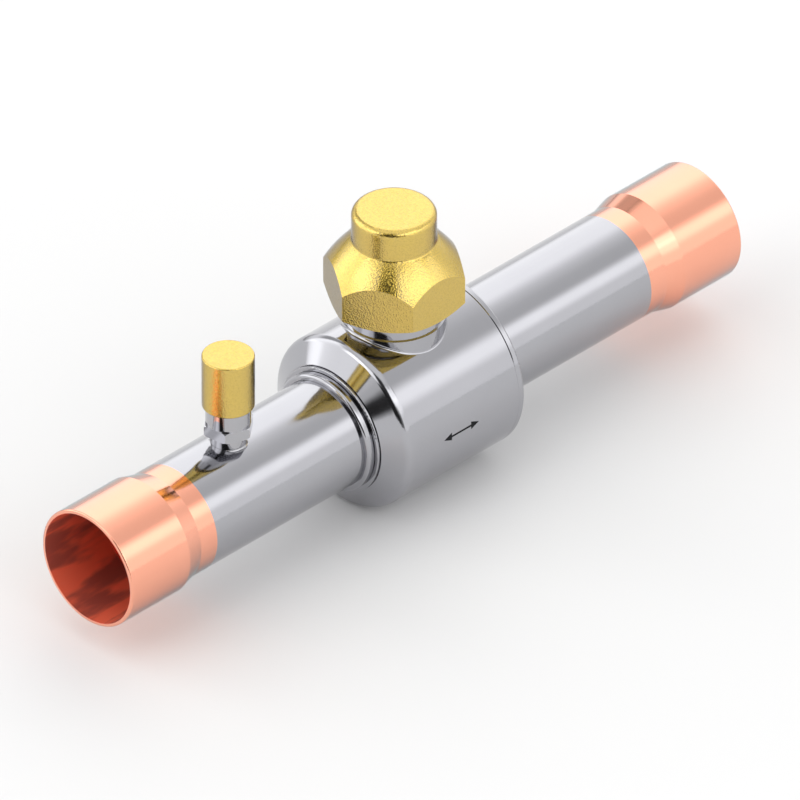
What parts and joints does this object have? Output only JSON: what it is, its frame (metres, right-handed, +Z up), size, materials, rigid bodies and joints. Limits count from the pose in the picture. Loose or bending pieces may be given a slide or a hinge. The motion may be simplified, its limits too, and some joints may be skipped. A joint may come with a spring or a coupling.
{
  "type": "refrigerant service ball valve",
  "caption": "Quarter-turn steel refrigerant shut-off valve with copper solder ends, capped spindle and a charging port with core and screw cap.",
  "frame": {"origin": "centre of the inlet solder socket's mouth, on the flow axis", "axes": "+X along the flow from inlet mouth to outlet mouth, +Z up the spindle towards the seal cap, +Y to the left of the flow seen from above"},
  "size_m": [0.206, 0.0452, 0.0761],
  "materials": {
    "polished_steel": "polished stainless steel",
    "copper": "satin drawn copper",
    "forged_brass": "forged brass, fine blasted grain",
    "turned_brass": "turned brass",
    "plated_fitting": "bright nickel-like steel",
    "plated_ball": "mirror chrome",
    "spindle_steel": "turned steel",
    "spring_steel": "drawn spring wire",
    "seat_polymer": "white PTFE",
    "seal_rubber": "black rubber"
  },
  "bodies": {
    "valve_body": {"barrel": "polished_steel", "end_plug": "polished_steel", "inlet_tube": "polished_steel", "outlet_tube": "polished_steel", "inlet_socket": "copper", "outlet_socket": "copper", "inlet_seat": "seat_polymer", "outlet_seat": "seat_polymer", "inlet_seat_ring": "seal_rubber", "outlet_seat_ring": "seal_rubber", "thrust_washer": "seat_polymer", "access_fitting": "plated_fitting", "core_body": "turned_brass", "core_seal": "seat_polymer", "core_spring": "spring_steel"},
    "turning_spindle": {"spindle": "spindle_steel", "ball": "plated_ball", "stop_pin": "spindle_steel", "lower_spindle_seal": "seal_rubber", "upper_spindle_seal": "seal_rubber"},
    "cap_seat": {"cap_gasket": "seal_rubber"},
    "spindle_cap": {"seal_cap": "forged_brass"},
    "pressing_pin": {"core_pin": "turned_brass", "core_disc": "seal_rubber"},
    "port_cap_seat": {"access_cap_seal": "seal_rubber"},
    "port_cap": {"access_cap": "turned_brass"}
  },
  "joints": [
    {"name": "spindle_turn", "type": "hinge", "parent": "valve_body", "child": "turning_spindle", "pos_m": [0.103, 0, 0], "axis": [0, 0, 1], "range_deg": [-90, 0]},
    {"name": "cap_lift", "type": "slide", "parent": "valve_body", "child": "cap_seat", "axis": [0, 0, 1], "range_m": [0, 0.0211]},
    {"name": "cap_turn", "type": "hinge", "parent": "cap_seat", "child": "spindle_cap", "pos_m": [0.103, 0, 0], "axis": [0, 0, 1], "range_deg": [0, 5040]},
    {"name": "port_cap_lift", "type": "slide", "parent": "valve_body", "child": "port_cap_seat", "axis": [0, 0, 1], "range_m": [0, 0.0141]},
    {"name": "port_cap_turn", "type": "hinge", "parent": "port_cap_seat", "child": "port_cap", "pos_m": [0.0472, 0, 0], "axis": [0, 0, 1], "range_deg": [0, 3960]},
    {"name": "pin_press", "type": "slide", "parent": "valve_body", "child": "pressing_pin", "axis": [0, 0, 1], "range_m": [-0.0014, 0], "stiffness_N_per_m": 1500, "springref_m": 0.002, "deforming": ["core_spring"]}
  ],
  "couplings": [
    {"joint": "cap_lift", "follows": "cap_turn", "m_per_rad": 0.00023873},
    {"joint": "port_cap_lift", "follows": "port_cap_turn", "m_per_rad": 0.00020213}
  ]
}
